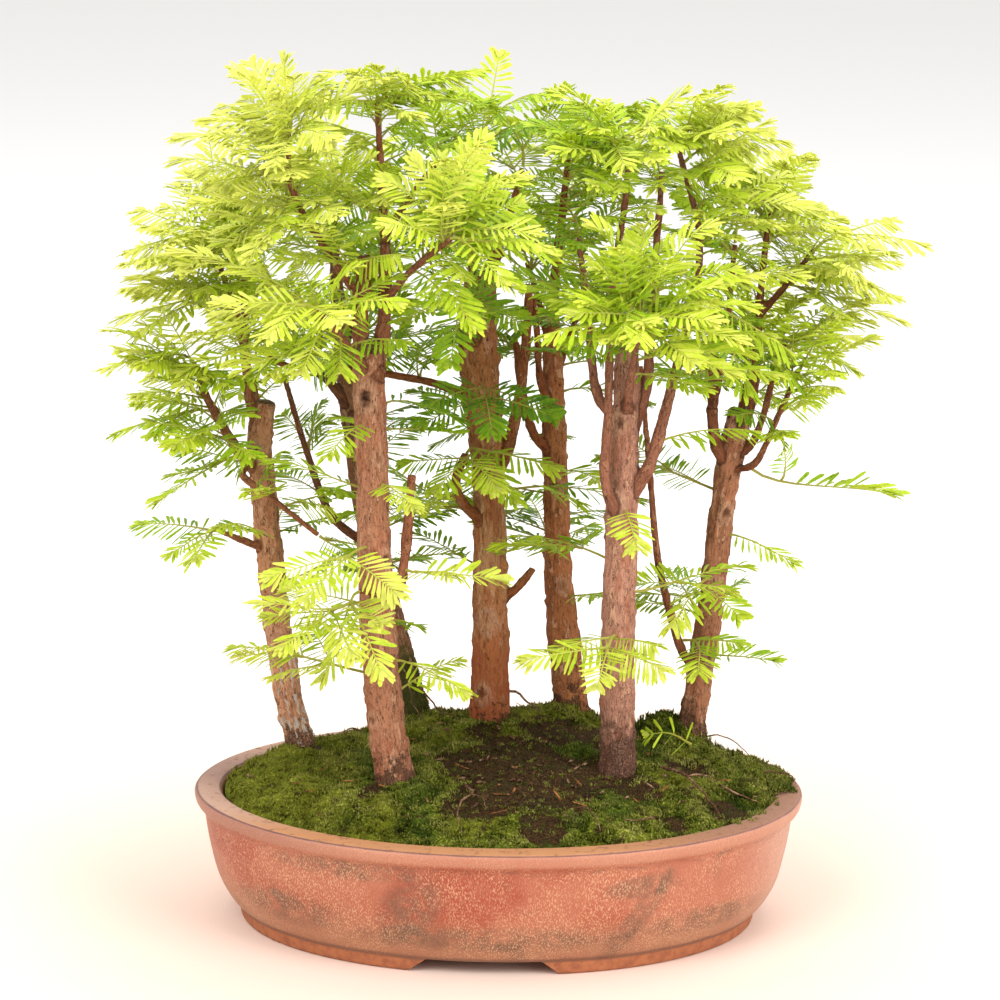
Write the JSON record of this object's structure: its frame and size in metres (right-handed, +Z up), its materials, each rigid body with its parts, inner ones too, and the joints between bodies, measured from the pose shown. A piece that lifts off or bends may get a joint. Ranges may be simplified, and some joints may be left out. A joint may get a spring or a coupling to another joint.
{
  "type": "dawn redwood bonsai forest",
  "caption": "Group of slender conifers with bright feathery foliage on a mossed mound, planted in a low oval glazed stoneware tray on a foot ring.",
  "frame": {"origin": "on the floor under the middle of the outline of the whole forest", "axes": "+Z up, +X to the right as seen from the front, +Y to the back"},
  "size_m": [0.401, 0.2898, 0.434],
  "materials": {
    "stoneware": "semi-matte speckled glaze, bare clay at the foot",
    "soil": "crumbly, matte",
    "moss": "soft, matte",
    "bark": "fibrous, matte",
    "foliage": "thin leaves, slightly waxy",
    "screen_plastic": "moulded mesh"
  },
  "bodies": {
    "root": {"drain_screen_1": "screen_plastic", "drain_screen_2": "screen_plastic", "moss": "moss", "soil": "soil", "spray_1_back_1": "foliage", "spray_1_cross_1": "foliage", "spray_1_high_1": "foliage", "spray_1_high_2": "foliage", "spray_1_leader_1": "foliage", "spray_1_leader_2": "foliage", "spray_1_low_1": "foliage", "spray_1_snag_1": "foliage", "spray_1_snag_2": "foliage", "spray_1_snag_3": "foliage", "spray_2_front_1": "foliage", "spray_2_leader_1": "foliage", "spray_2_leader_2": "foliage", "spray_2_left_1": "foliage", "spray_2_left_2": "foliage", "spray_2_low_1": "foliage", "spray_2_right_1": "foliage", "spray_2_right_2": "foliage", "spray_2_snag_1": "foliage", "spray_2_stub_1": "foliage", "spray_3_back_1": "foliage", "spray_3_left_1": "foliage", "spray_3_rear_1": "foliage", "spray_4_front_1": "foliage", "spray_4_leader_1": "foliage", "spray_4_rear_1": "foliage", "spray_4_second_1": "foliage", "spray_4_stub_1": "foliage", "spray_4_stub_2": "foliage", "spray_5_leader_1": "foliage", "spray_5_leader_2": "foliage", "spray_5_left_1": "foliage", "spray_5_rear2_1": "foliage", "spray_5_rear_1": "foliage", "spray_6_fork_1": "foliage", "spray_6_fork_top_1": "foliage", "spray_6_front_1": "foliage", "spray_6_front_2": "foliage", "spray_6_fwd_1": "foliage", "spray_6_left_1": "foliage", "spray_7_back_1": "foliage", "spray_7_green_1": "foliage", "spray_7_inner_1": "foliage", "spray_7_low_1": "foliage", "spray_7_reach_1": "foliage", "spray_7_right_1": "foliage", "spray_7_right_2": "foliage", "spray_7_thin_1": "foliage", "tray": "stoneware", "tree_1_wood": "bark", "tree_2_wood": "bark", "tree_3_wood": "bark", "tree_4_wood": "bark", "tree_5_wood": "bark", "tree_6_wood": "bark", "tree_7_wood": "bark"}
  },
  "joints": []
}
